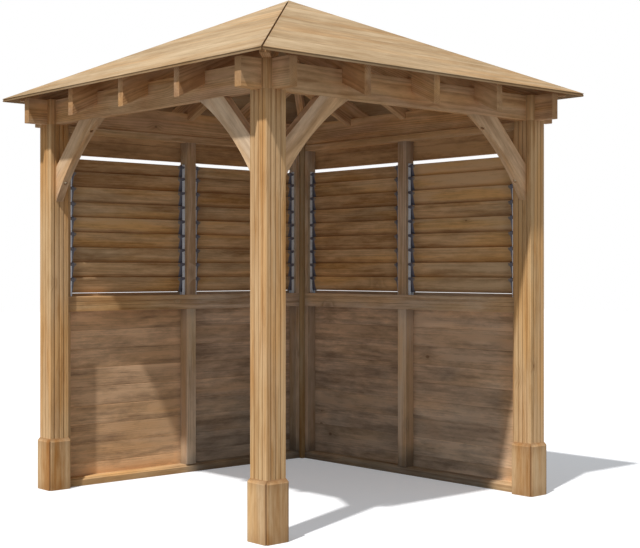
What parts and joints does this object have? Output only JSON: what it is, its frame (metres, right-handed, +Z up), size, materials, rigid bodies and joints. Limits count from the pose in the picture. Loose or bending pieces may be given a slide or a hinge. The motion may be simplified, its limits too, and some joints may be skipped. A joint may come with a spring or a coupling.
{
  "type": "garden gazebo",
  "caption": "Square timber garden shelter with a hipped boarded roof, open on two sides, with louvred and boarded walls on the other two.",
  "frame": {"origin": "on the ground, at the centre of the four posts", "axes": "+Z up; the open front faces -Y, the open left side faces -X, and the walls stand at +Y and +X"},
  "size_m": [2.512, 2.512, 2.986],
  "materials": {
    "post_timber": "planed softwood, pressure treated",
    "boot_board": "planed softwood",
    "frame_timber": "planed softwood",
    "wall_board": "planed softwood",
    "roof_board": "sawn softwood",
    "louvre_blade": "planed hardwood",
    "louvre_channel": "satin"
  },
  "bodies": {
    "root": {"back_beam": "frame_timber", "back_bottom_rail": "frame_timber", "back_header_boards": "wall_board", "back_left_boot": "boot_board", "back_left_post": "post_timber", "back_louvre_blades": "louvre_blade", "back_louvre_channels": "louvre_channel", "back_lower_boards": "wall_board", "back_rafters": "frame_timber", "back_right_boot": "boot_board", "back_right_post": "post_timber", "back_roof": "roof_board", "back_sill": "frame_timber", "back_studs": "frame_timber", "back_top_rail": "frame_timber", "front_beam": "frame_timber", "front_left_boot": "boot_board", "front_left_brace": "frame_timber", "front_left_post": "post_timber", "front_rafters": "frame_timber", "front_right_boot": "boot_board", "front_right_brace": "frame_timber", "front_right_post": "post_timber", "front_roof": "roof_board", "hip_rafters": "frame_timber", "left_back_brace": "frame_timber", "left_beam": "frame_timber", "left_front_brace": "frame_timber", "left_rafters": "frame_timber", "left_roof": "roof_board", "right_beam": "frame_timber", "right_bottom_rail": "frame_timber", "right_header_boards": "wall_board", "right_louvre_blades": "louvre_blade", "right_louvre_channels": "louvre_channel", "right_lower_boards": "wall_board", "right_rafters": "frame_timber", "right_roof": "roof_board", "right_sill": "frame_timber", "right_studs": "frame_timber", "right_top_rail": "frame_timber", "roof_block": "frame_timber"}
  },
  "joints": []
}
